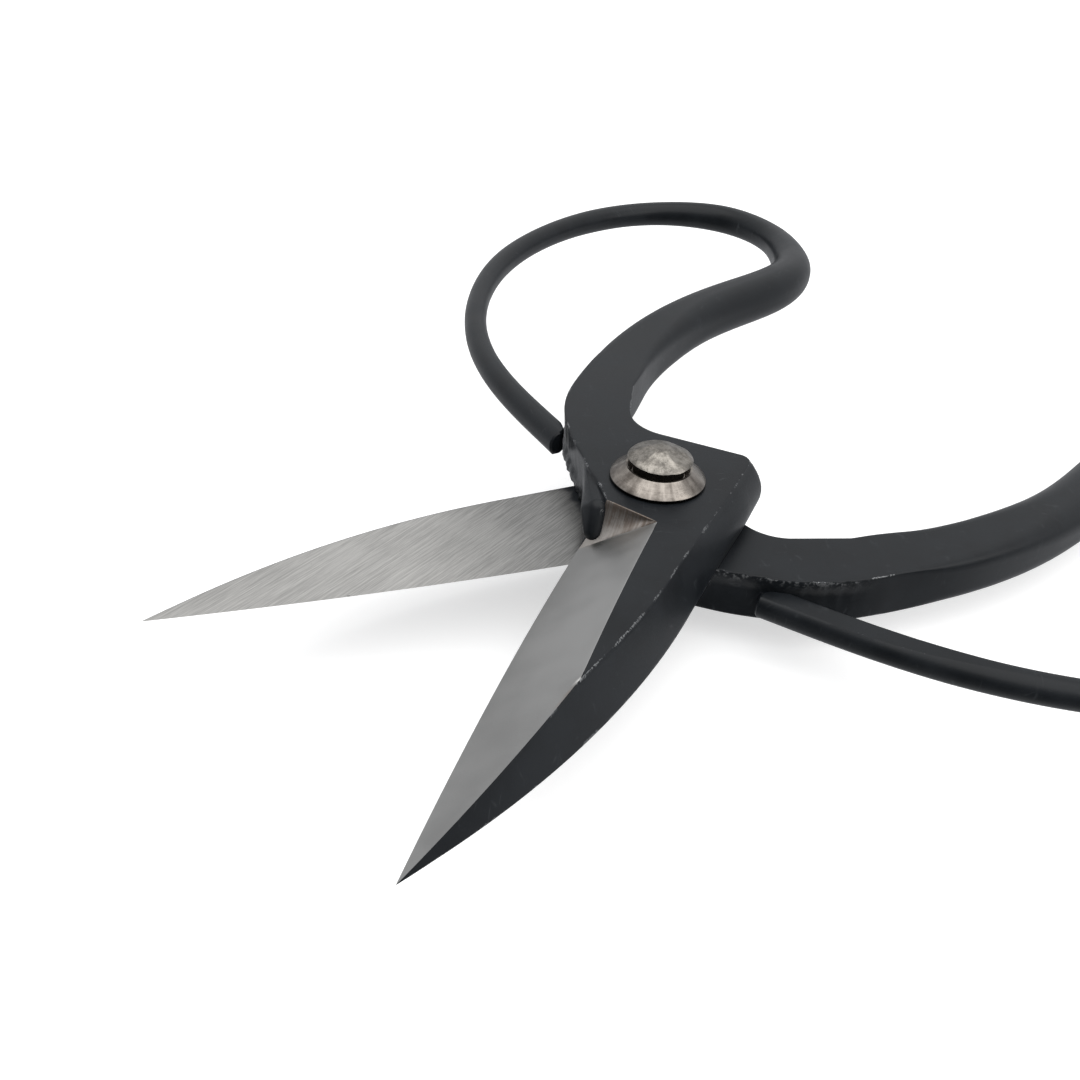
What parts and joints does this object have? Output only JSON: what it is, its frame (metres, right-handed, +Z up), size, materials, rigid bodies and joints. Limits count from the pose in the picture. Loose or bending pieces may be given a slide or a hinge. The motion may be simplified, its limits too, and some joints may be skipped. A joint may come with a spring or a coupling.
{
  "type": "floral snips",
  "caption": "Forged floral snips: two blackened steel halves with ground blades and large open finger loops, joined by a hammered rivet with cup washers.",
  "frame": {"origin": "centre of the flat on the lower rivet head, on the pivot axis", "axes": "+Z up along the pivot axis, -Y towards the blades (half way between them), +Y towards the finger loops, +X to the right seen from behind the loops"},
  "size_m": [0.165, 0.1592, 0.0213],
  "materials": {
    "blackened_steel": "satin black on forged steel, with the blade bevel and mating face ground bright",
    "hammered_steel": "hammered, dull",
    "turned_steel": "turned and polished"
  },
  "bodies": {
    "lower_side": {"lower_half": "blackened_steel", "pivot_rivet": "hammered_steel", "upper_cup_washer": "turned_steel", "lower_cup_washer": "turned_steel"},
    "upper_side": {"upper_half": "blackened_steel"}
  },
  "joints": [
    {"name": "blade_pivot", "type": "hinge", "parent": "lower_side", "child": "upper_side", "pos_m": [0, 0, 0.01065], "axis": [0, 0, 1], "range_deg": [-42, 20]}
  ]
}
